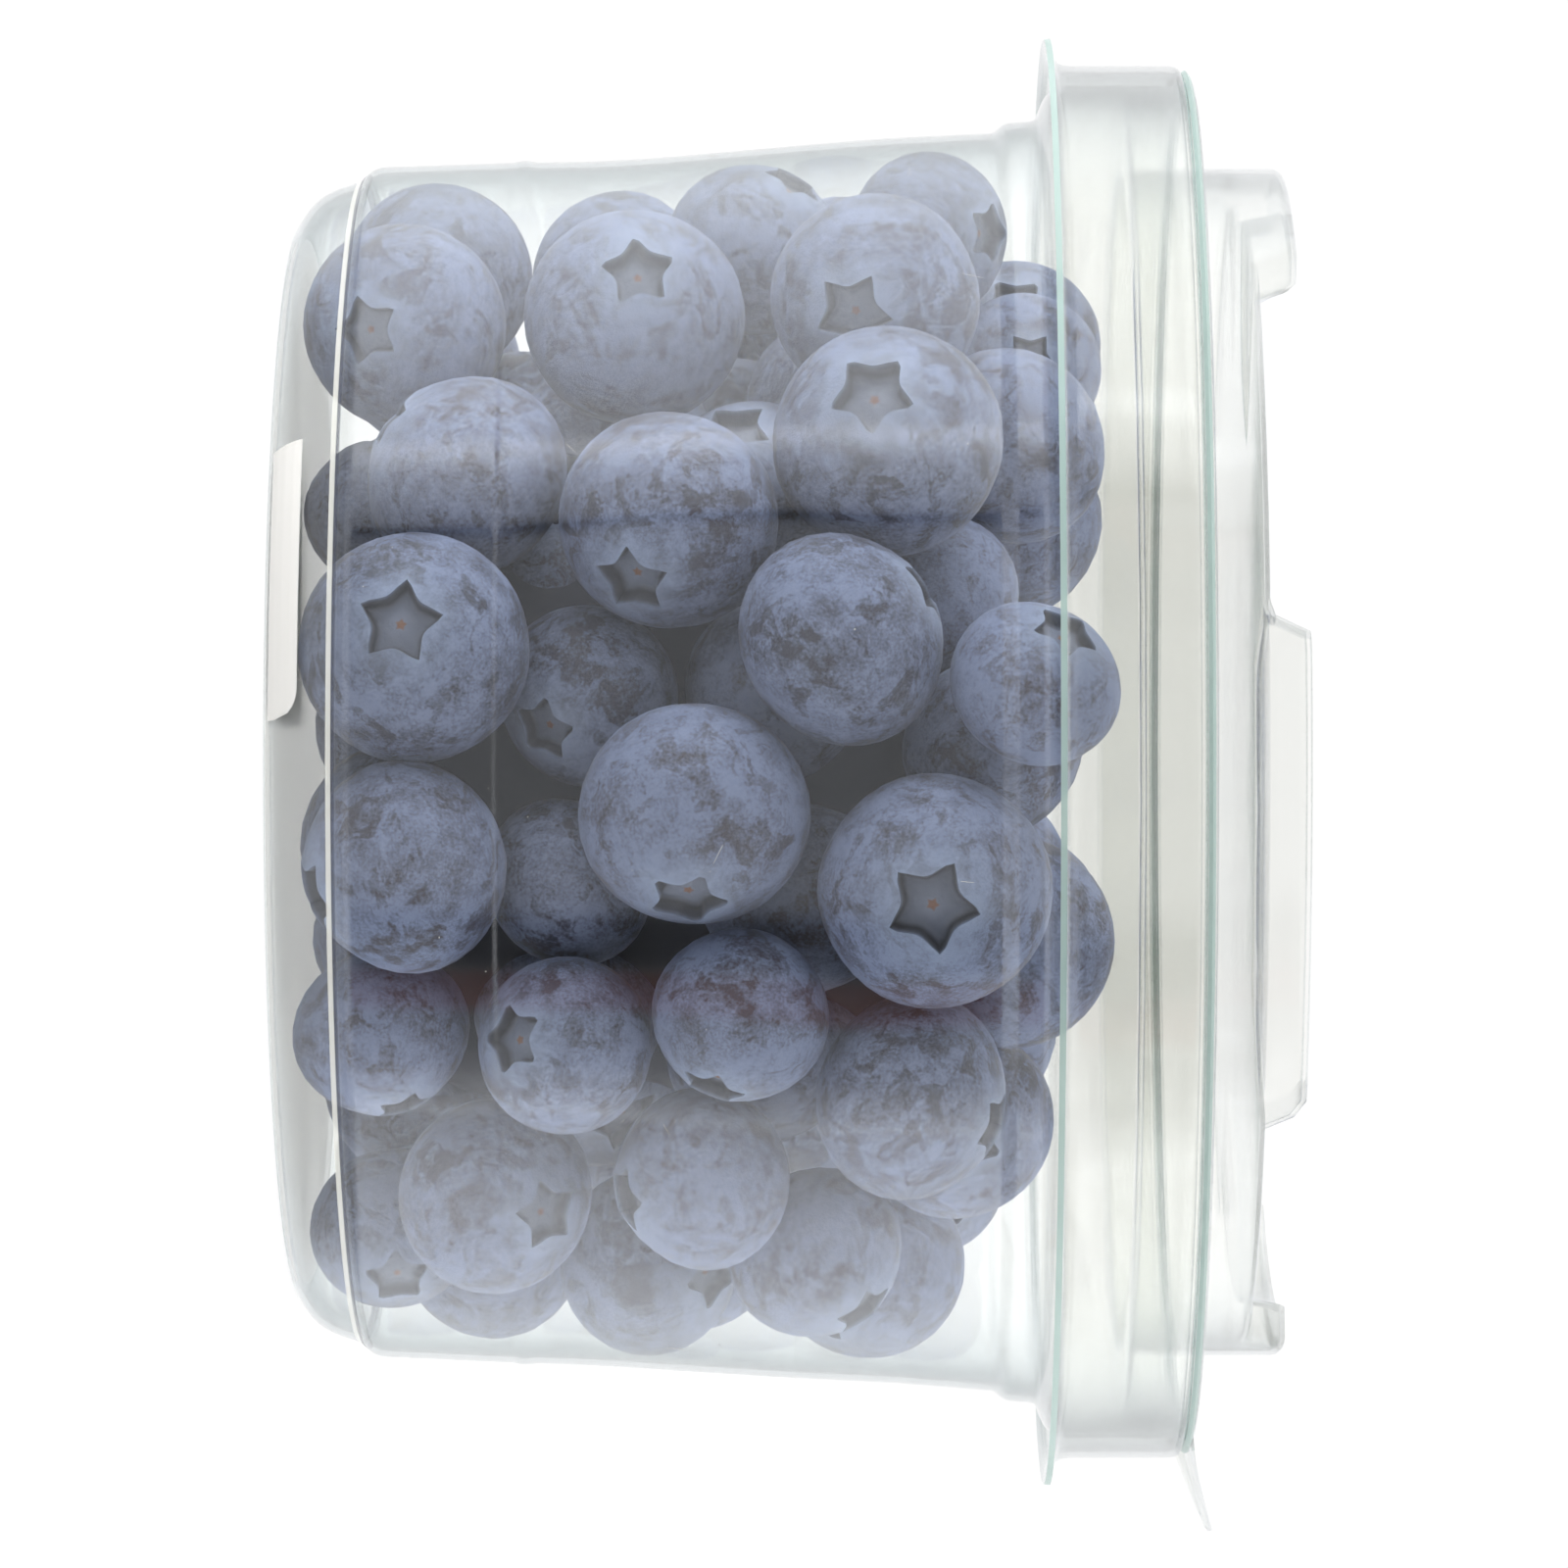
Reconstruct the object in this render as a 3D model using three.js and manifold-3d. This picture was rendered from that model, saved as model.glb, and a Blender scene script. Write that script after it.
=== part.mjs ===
// A round clear tub of blueberries, shut with a clear press-on lid.
// Millimetres, +Z up, origin on the tub's axis at the height that its foot stands on.
// The shown side faces -Y. A turn is an angle in degrees from there towards +X.
import * as THREE from 'three';
import { mergeVertices } from 'three/addons/utils/BufferGeometryUtils.js';
import Module from 'manifold-3d';

const wasm = await Module();
wasm.setup();

// Driving dimensions
const turns = 48; // flat sides round the tub and the lid
const tubSheet = 0.5;
const lidSheet = 0.4;

const floorRadius = 43.2;
const floorLift = 0.25; // of the base's underside above the foot ring
const footRadius = 44.5;
const cornerRadius = 48.25; // where the rounded bottom corner ends
const cornerHeight = 5.4;
const shoulderRadius = 49.35;
const waistRadius = 50.05;
const waistHeight = 26;
const neckRadius = 52.2;
const neckHeight = 57.8;
const ledgeHeight = 62.2;
const bandRadius = 57.75; // the rim's outer skirt
const bandInnerRadius = 56.1;
const rimHeight = 73.0;
const flangeRadius = 60.2;
const flangeHeight = 62.1;

const lidEdgeRadius = 56.9;
const lidEdgeHeight = 73.85;
const plugRadius = 55.3;
const channelHeight = 68.35;
const plateauRadius = 49.3;
const plateauHeight = 78.3;

const lugCount = 4;
const lugTurn = 11; // of the first lug's middle
const lugSpan = 50;
const lugTop = 81.5;
const lugOuterRadius = 49.2;
const lugInnerRadius = 45.4;

const tabWidth = 18;
const tabReach = 63.8;
const tabRoot = 55.6;
const tabCorner = 4;

const labelSize = [20.8, 40];
const labelCentre = [-13.3, -23.2];
const labelCorner = 4;
const labelSheet = 0.12;
const labelGap = 0.05;
const labelRadius = 42.9;

const berryCount = 132; // before the most crowded ones are left out
const smallestBerry = 13;
const largestBerry = 18;
const berrySides = [8, 5];
const berryGap = 0.35; // between the fruit and the tub
const fillHeight = 67.3; // no fruit stands higher, and the heap falls away on one side
const fillSlope = 0.42;
const slopeStart = 18;
const berryFlatness = 0.97; // height over width
const berrySwell = 0.28; // so that fruit that only touch are fused
const coreRadius = 39.5;
const coreBottom = 5;
const coreTop = 58.5;

// Closed solids and meshes

function solidOf(geometry) {
  const bare = geometry.index ? geometry.toNonIndexed() : geometry.clone();
  bare.deleteAttribute('normal');
  bare.deleteAttribute('uv');
  const merged = mergeVertices(bare, 1e-4);
  const corners = merged.index.array;
  const kept = [];
  for (let i = 0; i < corners.length; i += 3) {
    const [a, b, c] = [corners[i], corners[i + 1], corners[i + 2]];
    if (a !== b && b !== c && c !== a) {
      kept.push(a, b, c);
    }
  }
  const vertProperties = new Float32Array(merged.attributes.position.array);
  const triVerts = new Uint32Array(kept);
  return new wasm.Manifold(new wasm.Mesh({ numProp: 3, vertProperties, triVerts }));
}

function meshOf(name, solid, look) {
  const { vertProperties, triVerts } = solid.getMesh();
  const geometry = new THREE.BufferGeometry();
  geometry.setAttribute('position', new THREE.BufferAttribute(vertProperties, 3));
  geometry.setIndex(new THREE.BufferAttribute(triVerts, 1));
  geometry.computeVertexNormals();
  const mesh = new THREE.Mesh(geometry, new THREE.MeshStandardMaterial(look));
  mesh.name = name;
  return mesh;
}

function radians(degrees) {
  return (degrees * Math.PI) / 180;
}

// The point of a bend from start to end that a share of the way along it gives
function bend(start, middle, end, share) {
  const rest = 1 - share;
  return [0, 1].map((k) => rest * rest * start[k] + 2 * rest * share * middle[k] + share * share * end[k]);
}

// Both faces of a formed sheet, from the middle line of its section, as one closed outline
function sheetOutline(middle, thickness) {
  const directions = middle.slice(1).map((point, i) => {
    return new THREE.Vector2(point[0] - middle[i][0], point[1] - middle[i][1]).normalize();
  });
  const face = (side) => middle.map((point, i) => {
    const before = directions[Math.max(i - 1, 0)];
    const after = directions[Math.min(i, directions.length - 1)];
    const along = before.clone().add(after).normalize();
    const reach = (side * thickness) / 2 / along.dot(after);
    return new THREE.Vector2(point[0] + along.y * reach, point[1] - along.x * reach);
  });
  return [...face(1), ...face(-1).reverse()];
}

function turned(outline) {
  return new THREE.LatheGeometry(outline, turns).rotateX(Math.PI / 2);
}

// The tub

const cornerStart = [footRadius, tubSheet / 2];
const cornerMiddle = [47.1, 1.9];
const cornerEnd = [cornerRadius, cornerHeight];

function tubSection() {
  return [
    [0, floorLift + tubSheet / 2],
    [floorRadius, floorLift + tubSheet / 2],
    [footRadius - 0.7, tubSheet / 2],
    cornerStart,
    bend(cornerStart, cornerMiddle, cornerEnd, 0.35),
    bend(cornerStart, cornerMiddle, cornerEnd, 0.7),
    cornerEnd,
    [shoulderRadius, cornerHeight + 1.1],
    [waistRadius, waistHeight],
    [51.35, 44.7],
    [neckRadius, neckHeight],
    [neckRadius + 0.8, neckHeight + 0.9],
    [neckRadius + 1, ledgeHeight - 0.9],
    [bandInnerRadius - 0.7, ledgeHeight],
    [bandInnerRadius, ledgeHeight + 0.9],
    [bandInnerRadius, rimHeight - 0.7],
    [(bandInnerRadius + bandRadius) / 2, rimHeight],
    [bandRadius, rimHeight - 0.7],
    [bandRadius, flangeHeight + 2.3],
    [bandRadius + 0.7, flangeHeight + 0.7],
    [flangeRadius, flangeHeight],
  ];
}

function tubSolid() {
  return solidOf(turned(sheetOutline(tubSection(), tubSheet)));
}

// The lid

function lidSection() {
  return [
    [0, plateauHeight],
    [plateauRadius - 1, plateauHeight],
    [plateauRadius - 0.15, plateauHeight - 0.4],
    [plateauRadius, plateauHeight - 1.3],
    [plateauRadius, channelHeight + 0.65],
    [plateauRadius + 0.7, channelHeight],
    [plugRadius - 0.7, channelHeight],
    [plugRadius, channelHeight + 0.65],
    [plugRadius, lidEdgeHeight - 0.85],
    [plugRadius + 0.4, lidEdgeHeight - 0.15],
    [lidEdgeRadius, lidEdgeHeight],
  ];
}

// A block that follows the plateau's edge from one turn to another
function arcBlock(innerRadius, outerRadius, fromTurn, toTurn, bottom, top) {
  const shape = new THREE.Shape();
  const start = radians(fromTurn - 90);
  const end = radians(toTurn - 90);
  shape.absarc(0, 0, outerRadius, start, end, false);
  shape.absarc(0, 0, innerRadius, end, start, true);
  shape.closePath();
  const settings = { depth: top - bottom, bevelEnabled: false, curveSegments: 4 };
  return solidOf(new THREE.ExtrudeGeometry(shape, settings).translate(0, 0, bottom));
}

function lugOn(lid, middleTurn) {
  const from = middleTurn - lugSpan / 2;
  const to = middleTurn + lugSpan / 2;
  const endWall = 0.6; // in degrees
  const block = arcBlock(lugInnerRadius, lugOuterRadius, from, to, plateauHeight - 0.1, lugTop);
  const skirt = arcBlock(lugOuterRadius - lidSheet, lugOuterRadius, from, to, plateauHeight - 1.4, lugTop);
  const [inner, outer] = [lugInnerRadius + lidSheet, lugOuterRadius - lidSheet];
  const [start, end] = [from + endWall, to - endWall];
  const hollow = arcBlock(inner, outer, start, end, plateauHeight - 1, lugTop - lidSheet);
  return lid.add(block).add(skirt).subtract(hollow);
}

function roundedPlan(centre, size, corner) {
  const [halfX, halfY] = [size[0] / 2 - corner, size[1] / 2 - corner];
  const shape = new THREE.Shape();
  [[1, 1, 0], [-1, 1, 90], [-1, -1, 180], [1, -1, 270]].forEach(([sideX, sideY, start]) => {
    const x = centre[0] + sideX * halfX;
    const y = centre[1] + sideY * halfY;
    shape.absarc(x, y, corner, radians(start), radians(start + 90), false);
  });
  shape.closePath();
  return shape;
}

// The pull tab's thin strip curves up towards its tip
function tabSolid() {
  const middle = [
    [tabRoot, lidEdgeHeight - 0.05],
    [59.5, lidEdgeHeight + 0.3],
    [62, lidEdgeHeight + 1],
    [tabReach, lidEdgeHeight + 2.05],
  ];
  const side = new THREE.Shape(sheetOutline(middle, lidSheet));
  const strip = new THREE.ExtrudeGeometry(side, { depth: tabWidth, bevelEnabled: false });
  strip.rotateX(Math.PI / 2).translate(0, tabWidth / 2, 0);
  const length = 30;
  const plan = roundedPlan([tabReach - length / 2, 0], [length, tabWidth - 0.02], tabCorner);
  const cutter = new THREE.ExtrudeGeometry(plan, { depth: 20, bevelEnabled: false, curveSegments: 4 });
  return solidOf(strip).intersect(solidOf(cutter.translate(0, 0, lidEdgeHeight - 10)));
}

function lidSolid() {
  let lid = solidOf(turned(sheetOutline(lidSection(), lidSheet)));
  for (let k = 0; k < lugCount; k += 1) {
    lid = lugOn(lid, lugTurn + (k * 360) / lugCount);
  }
  return lid.add(tabSolid());
}

// The bare label under the base

function labelSolid() {
  const top = floorLift - labelGap;
  const plan = roundedPlan(labelCentre, labelSize, labelCorner);
  const sheet = new THREE.ExtrudeGeometry(plan, { depth: labelSheet, bevelEnabled: false, curveSegments: 4 });
  const round = new THREE.Shape().absarc(0, 0, labelRadius, 0, 2 * Math.PI, false);
  const disc = new THREE.ExtrudeGeometry(round, { depth: 1, bevelEnabled: false, curveSegments: turns });
  const cut = solidOf(sheet.translate(0, 0, top - labelSheet)).intersect(solidOf(disc.translate(0, 0, -0.2)));
  return cut;
}

// The fruit: those that show at the front are placed by hand, and the rest fall in beside them.
// crown is how far the crown's middle lies to the right and up, as a share of the fruit's radius.
const shownBerries = [
  { turn: -12, height: 12.5, across: 18.6, crown: [-0.23, -0.08] },
  { turn: 11, height: 10.5, across: 17.2, deep: 3, crown: [0.3, -0.9] },
  { turn: 5, height: 34.3, across: 18.6, crown: [0.8, -0.05] },
  { turn: 14, height: 52.5, across: 18.8, crown: [0.13, -0.04] },
  { turn: -12, height: 46, across: 17.6, crown: [-0.5, 0.86] },
  { turn: -63, height: 28.3, across: 18.2, crown: [-0.4, 0.06] },
  { turn: -37, height: 48.7, across: 18.8, crown: [-0.4, -0.15] },
  { turn: -63, height: 47.9, across: 17.4, crown: [0.2, -0.24] },
  { turn: -28, height: 31.4, across: 17.8, deep: 1, crown: [0.6, -0.33] },
  { turn: -58, height: 10, across: 17, crown: [0.1, -0.35] },
  { turn: -37, height: 13.3, across: 17, deep: 4, crown: [-0.6, -0.8] },
  { turn: -95, height: 11.5, across: 16.5, crown: [0, -0.3] },
  { turn: -100, height: 27, across: 15, crown: [0.5, 0.8] },
  { turn: -90, height: 36.6, across: 15, crown: [-0.8, 0.5] },
  { turn: -90, height: 52.2, across: 14.5, crown: [0, 0.8] },
  { turn: 32, height: 23.8, across: 14.4, crown: [-0.11, -0.63] },
  { turn: 27, height: 37.1, across: 14.4, crown: [0.86, -0.33] },
  { turn: 29, height: 9, across: 14.5, deep: 4, crown: [0.9, 0.3] },
  { turn: 59, height: 17.1, across: 16.4, crown: [0.16, 0.6] },
  { turn: 52, height: 34.1, across: 15, crown: [0.2, -0.9] },
  { turn: 38, height: 50, across: 17, crown: [0.3, 0.9] },
  { turn: 85, height: 29, across: 16, crown: [0.1, 0.78] },
  { turn: 68, height: 43, across: 15, crown: [0.7, 0.6] },
  { turn: 97, height: 47, across: 17, crown: [0.5, -0.5] },
  { turn: 95, height: 15, across: 16, crown: [-0.3, 0.6] },
  { turn: 80, height: 8.5, across: 14, deep: 2, crown: [0.6, 0.1] },
  { turn: -9, height: 60, across: 14, deep: 3, crown: [-0.7, 0.4] },
  { turn: -10, height: 25, across: 15, deep: 11, crown: [0.4, -0.5] },
];

// How the fruit settles
const passes = 600;
const fastestSink = 0.32; // in a pass
const sideDrift = 0.08; // as a share of the sink
const homePull = 0.1; // of a placed fruit back to its place, in a pass
const placedGive = 0.15; // of a placed fruit when another pushes it
const mostSqueeze = 0.8;
const startHeights = 74;
const startRadius = 41;

// Lengths that the heap starts from are whole microns, so that every maker of it gets the same heap
function micron(length) {
  return Math.floor(length * 1000 + 0.5) / 1000;
}

// Repeatable draws from 0 to 1
let drawState = 4217;

function draw(low = 0, high = 1) {
  drawState = (drawState * 16807) % 2147483647;
  return low + ((high - low) * drawState) / 2147483647;
}

// The tub's inner face as closely spaced points, from the floor's edge up
function innerWall() {
  const section = tubSection().slice(1, 16);
  const points = [];
  section.slice(1).forEach(([radius, height], i) => {
    const [lowRadius, lowHeight] = section[i];
    const steps = Math.max(1, Math.ceil((height - lowHeight) / 1.5));
    for (let k = 0; k < steps; k += 1) {
      const share = k / steps;
      const inner = lowRadius + (radius - lowRadius) * share - tubSheet / 2;
      points.push([micron(inner), micron(lowHeight + (height - lowHeight) * share)]);
    }
  });
  return points;
}

// How far from the axis a fruit of that size may lie at a height
function reachAt(wall, height, radius) {
  const room = radius + berryGap;
  let reach = plugRadius - room;
  wall.forEach(([wallRadius, wallHeight]) => {
    const away = Math.abs(wallHeight - height);
    if (away < room) {
      reach = Math.min(reach, wallRadius - Math.sqrt(room * room - away * away));
    }
  });
  return reach;
}

function firstBerries(wall) {
  const floorTop = floorLift + tubSheet;
  const berries = shownBerries.map(({ turn, height, across, deep = 0, crown }) => {
    const radius = across / 2;
    const out = reachAt(wall, height, radius) - deep;
    const place = [out * Math.sin(radians(turn)), -out * Math.cos(radians(turn)), height].map(micron);
    const facing = Math.sqrt(Math.max(0.02, 1 - crown[0] ** 2 - crown[1] ** 2));
    return { place, home: [...place], radius, crown: [crown[0], -facing, crown[1]] };
  });
  while (berries.length < berryCount) {
    const radius = draw(smallestBerry, largestBerry) / 2;
    const out = startRadius * Math.sqrt(draw());
    const angle = draw(0, 2 * Math.PI);
    const height = floorTop + radius + draw(0, startHeights);
    const place = [out * Math.sin(angle), -out * Math.cos(angle), height].map(micron);
    const lean = draw(-1, 1);
    const round = draw(0, 2 * Math.PI);
    const level = Math.sqrt(1 - lean * lean);
    berries.push({ place, radius, crown: [level * Math.sin(round), -level * Math.cos(round), lean] });
  }
  return berries;
}

// How deep a fruit is pressed into the neighbour that it crowds most
function squeeze(berry, berries) {
  return Math.max(...berries.filter((other) => other !== berry).map((other) => {
    const [x, y, z] = [0, 1, 2].map((k) => other.place[k] - berry.place[k]);
    return berry.radius + other.radius - Math.sqrt(x * x + y * y + z * z);
  }));
}

function withoutMostCrowded(berries) {
  const loose = berries.filter((berry) => !berry.home);
  const squeezes = loose.map((berry) => squeeze(berry, berries));
  const most = Math.max(...squeezes);
  const worst = loose[squeezes.indexOf(most)];
  return most > mostSqueeze ? berries.filter((berry) => berry !== worst) : berries;
}

function keepInside(berry, wall) {
  const { place, radius } = berry;
  const lowest = floorLift + tubSheet + radius + berryGap;
  const top = fillHeight - fillSlope * Math.max(0, place[0] - slopeStart);
  place[2] = Math.min(Math.max(place[2], lowest), top - radius);
  const out = Math.sqrt(place[0] * place[0] + place[1] * place[1]);
  const reach = reachAt(wall, place[2], radius);
  if (out > reach) {
    place[0] *= reach / out;
    place[1] *= reach / out;
  }
}

function pushApart(first, second) {
  const way = [0, 1, 2].map((k) => second.place[k] - first.place[k]);
  const apart = Math.sqrt(way[0] * way[0] + way[1] * way[1] + way[2] * way[2]);
  const overlap = first.radius + second.radius - apart;
  if (overlap <= 0) {
    return;
  }
  const firstShare = first.home ? placedGive : 1;
  const secondShare = second.home ? placedGive : 1;
  const step = overlap / apart / (firstShare + secondShare);
  for (let k = 0; k < 3; k += 1) {
    first.place[k] -= way[k] * step * firstShare;
    second.place[k] += way[k] * step * secondShare;
  }
}

// The fruit sinks, a little more to the low side, while neighbours push each other apart
function settledBerries() {
  const wall = innerWall();
  let berries = firstBerries(wall);
  for (let pass = 0; pass < passes; pass += 1) {
    if (pass > passes / 3 && pass < passes * 0.9 && pass % 8 === 0) {
      berries = withoutMostCrowded(berries);
    }
    const sink = fastestSink * Math.max(0, 1 - pass / (passes / 2));
    berries.forEach((berry) => {
      if (berry.home) {
        for (let k = 0; k < 3; k += 1) {
          berry.place[k] += homePull * (berry.home[k] - berry.place[k]);
        }
      } else {
        berry.place[2] -= sink;
        berry.place[0] -= sink * sideDrift;
      }
    });
    for (let i = 0; i < berries.length; i += 1) {
      for (let j = i + 1; j < berries.length; j += 1) {
        pushApart(berries[i], berries[j]);
      }
    }
    berries.forEach((berry) => keepInside(berry, wall));
  }
  return berries;
}

function berrySolid({ place, radius, crown }) {
  const ball = new THREE.SphereGeometry(1, ...berrySides).rotateX(Math.PI / 2);
  const facing = new THREE.Vector3(...crown).normalize();
  const turn = new THREE.Quaternion().setFromUnitVectors(new THREE.Vector3(0, 0, 1), facing);
  const across = radius + berrySwell;
  const size = new THREE.Vector3(across, across, radius * berryFlatness + berrySwell);
  ball.applyMatrix4(new THREE.Matrix4().compose(new THREE.Vector3(...place), turn, size));
  return solidOf(ball);
}

// One body: a plain core with every fruit that shows fused on
function heapSolid() {
  const coreOutline = [
    [0, coreBottom], [coreRadius - 4, coreBottom], [coreRadius, coreBottom + 4],
    [coreRadius, coreTop - 5], [coreRadius - 6, coreTop], [0, coreTop + 2],
  ].map(([radius, height]) => new THREE.Vector2(radius, height));
  const core = solidOf(new THREE.LatheGeometry(coreOutline, 24).rotateX(Math.PI / 2));
  const whole = wasm.Manifold.union([core, ...settledBerries().map(berrySolid)]);
  const bodies = whole.decompose();
  return bodies.reduce((best, body) => (body.volume() > best.volume() ? body : best));
}

const clearPlastic = { color: 0xe6efec, roughness: 0.06, metalness: 0, transparent: true, opacity: 0.3 };

const punnet = new THREE.Group();
punnet.add(meshOf('tub', tubSolid(), clearPlastic));
punnet.add(meshOf('lid', lidSolid(), clearPlastic));
punnet.add(meshOf('label', labelSolid(), { color: 0xe9e8ea, roughness: 0.7, metalness: 0 }));
punnet.add(meshOf('berries', heapSolid(), { color: 0x59688a, roughness: 0.6, metalness: 0 }));

export default punnet;
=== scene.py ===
import math

import bmesh
import bpy
from mathutils import Matrix, Vector, noise


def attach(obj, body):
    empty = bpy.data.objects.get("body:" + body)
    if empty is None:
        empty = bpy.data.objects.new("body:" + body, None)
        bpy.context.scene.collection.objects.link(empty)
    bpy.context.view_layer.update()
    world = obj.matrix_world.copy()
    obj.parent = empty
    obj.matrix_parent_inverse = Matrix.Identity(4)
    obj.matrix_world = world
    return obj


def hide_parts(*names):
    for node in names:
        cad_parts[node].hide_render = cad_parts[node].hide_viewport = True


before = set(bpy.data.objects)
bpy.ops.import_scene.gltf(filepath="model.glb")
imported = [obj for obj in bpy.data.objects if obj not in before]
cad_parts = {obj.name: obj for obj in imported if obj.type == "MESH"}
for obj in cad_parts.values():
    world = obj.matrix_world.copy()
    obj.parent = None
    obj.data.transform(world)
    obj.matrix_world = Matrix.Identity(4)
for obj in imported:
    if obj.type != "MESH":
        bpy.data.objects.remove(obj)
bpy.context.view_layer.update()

# A round clear tub of blueberries with its press-on lid, standing on its foot.
# Lengths in the dictionaries are millimetres, +Z up, and the shown side faces -Y.
# A turn is an angle in degrees round the tub, from the shown side towards +X.

mm = 0.001


# Shader tools

# A socket that can be used in sums
class Wire:
    def __init__(self, shader, socket):
        self.shader, self.socket = shader, socket

    def maths(self, operation, *others):
        return self.shader.node("ShaderNodeMath", {"operation": operation}, self, *others)

    def __add__(self, other):
        return self.maths("ADD", other)

    def __radd__(self, other):
        return self.maths("ADD", other)

    def __sub__(self, other):
        return self.maths("SUBTRACT", other)

    def __rsub__(self, other):
        return self.shader.node("ShaderNodeMath", {"operation": "SUBTRACT"}, other, self)

    def __mul__(self, other):
        return self.maths("MULTIPLY", other)

    def __truediv__(self, other):
        return self.maths("DIVIDE", other)

    def __pow__(self, other):
        return self.maths("POWER", other)

    def least(self, other):
        return self.maths("MINIMUM", other)

    def most(self, other):
        return self.maths("MAXIMUM", other)


# A material's or a world's node tree, with short calls for its nodes
class Shader:
    def __init__(self, owner):
        owner.use_nodes = True
        self.tree = owner.node_tree
        self.tree.nodes.clear()

    def node(self, kind, settings=None, *values, out=0, **named):
        made = self.tree.nodes.new(kind)
        for name, value in (settings or {}).items():
            if name == "stops":
                self.setStops(made.color_ramp, value)
            else:
                setattr(made, name, value)
        for key, value in [*enumerate(values), *named.items()]:
            socket = made.inputs[key.replace("_", " ") if isinstance(key, str) else key]
            if isinstance(value, Wire):
                self.tree.links.new(value.socket, socket)
            elif value is not None:
                socket.default_value = value
        return Wire(self, made.outputs[out])

    def setStops(self, ramp, stops):
        while len(ramp.elements) < len(stops):
            ramp.elements.new(1.0)
        for element, (place, colour) in zip(ramp.elements, sorted(stops)):
            element.position = place
        for element, (place, colour) in zip(ramp.elements, sorted(stops)):
            element.color = (*colour, 1.0)

    def other(self, wire, name):
        return Wire(self, wire.socket.node.outputs[name])

    def place(self):
        return self.node("ShaderNodeTexCoord", out="Object")

    def cloud(self, vector, scale, detail=3.0, rough=0.55, distort=0.0):
        return self.node(
            "ShaderNodeTexNoise", None,
            Vector=vector, Scale=scale, Detail=detail, Roughness=rough, Distortion=distort,
        )

    def step(self, value, low, high):
        return self.node(
            "ShaderNodeMapRange", {"interpolation_type": "SMOOTHSTEP"}, value, low, high, 0.0, 1.0,
        )

    def mix(self, share, first, second, blend="MIX"):
        made = self.tree.nodes.new("ShaderNodeMix")
        made.data_type, made.blend_type = "RGBA", blend
        colours = [s for s in made.inputs if s.type == "RGBA"]
        for socket, value in ((made.inputs[0], share), (colours[0], first), (colours[1], second)):
            if isinstance(value, Wire):
                self.tree.links.new(value.socket, socket)
            else:
                socket.default_value = value if socket.type != "RGBA" else (*value[:3], 1.0)
        return Wire(self, next(s for s in made.outputs if s.type == "RGBA"))

    def output(self, kind, wire):
        out = self.tree.nodes.new(kind)
        self.tree.links.new(wire.socket, out.inputs["Surface"])


# Mesh tools

def finished(name, bm, materials, sharpAngle=40):
    for edge in bm.edges:
        edge.smooth = len(edge.link_faces) == 2 and edge.calc_face_angle(0) < math.radians(sharpAngle)
    for face in bm.faces:
        face.smooth = True
    mesh = bpy.data.meshes.new(name)
    bm.to_mesh(mesh)
    bm.free()
    for material in materials:
        mesh.materials.append(material)
    piece = bpy.data.objects.new(name, mesh)
    bpy.context.scene.collection.objects.link(piece)
    return piece


# The line through points (x, z, reach), with each corner rounded over its reach
def softened(points, steps=4):
    line = []
    for i, (x, z, reach) in enumerate(points):
        here = Vector((x, z))
        if reach == 0 or i in (0, len(points) - 1):
            line.append(here)
            continue
        before, after = Vector(points[i - 1][:2]) - here, Vector(points[i + 1][:2]) - here
        start = here + before.normalized() * min(reach, before.length * 0.5)
        end = here + after.normalized() * min(reach, after.length * 0.5)
        for k in range(steps + 1):
            t = k / steps
            line.append(start * (1 - t) ** 2 + here * 2 * t * (1 - t) + end * t * t)
    return line


# Both faces of a sheet, from the middle line of its section
def sheetOutline(middle, thickness):
    ways = [(b - a).normalized() for a, b in zip(middle, middle[1:])]
    faces = []
    for side in (1, -1):
        face = []
        for i, point in enumerate(middle):
            before, after = ways[max(i - 1, 0)], ways[min(i, len(ways) - 1)]
            along = (before + after).normalized()
            reach = side * thickness / 2 / along.dot(after)
            face.append(point + Vector((along.y, -along.x)) * reach)
        faces.append(face)
    return faces[0] + faces[1][::-1]


# A closed shell from an outline that starts and ends on the axis
def spun(outline, steps):
    bm = bmesh.new()
    corners = [bm.verts.new((0, -x * mm, z * mm)) for x, z in outline]
    edges = [bm.edges.new(pair) for pair in zip(corners, corners[1:])]
    bmesh.ops.spin(
        bm, geom=corners + edges, cent=(0, 0, 0), axis=(0, 0, 1), angle=2 * math.pi, steps=steps,
        use_merge=True,
    )
    bmesh.ops.remove_doubles(bm, verts=bm.verts, dist=0.002 * mm)
    bmesh.ops.recalc_face_normals(bm, faces=bm.faces)
    return bm


def turnOf(point):
    return math.degrees(math.atan2(point.x, -point.y))


def between(value, low, high):
    share = min(max((value - low) / (high - low), 0), 1)
    return share * share * (3 - 2 * share)


# The camera, the light and the floor

camera = {
    "distance": 661,
    "height": 45.7,
    "focalPixels": 8064,
    "pictureSide": 1600,
    "axisAt": (866, 777.5),  # where the lens axis meets the picture
    "sensor": 36,
}


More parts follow.
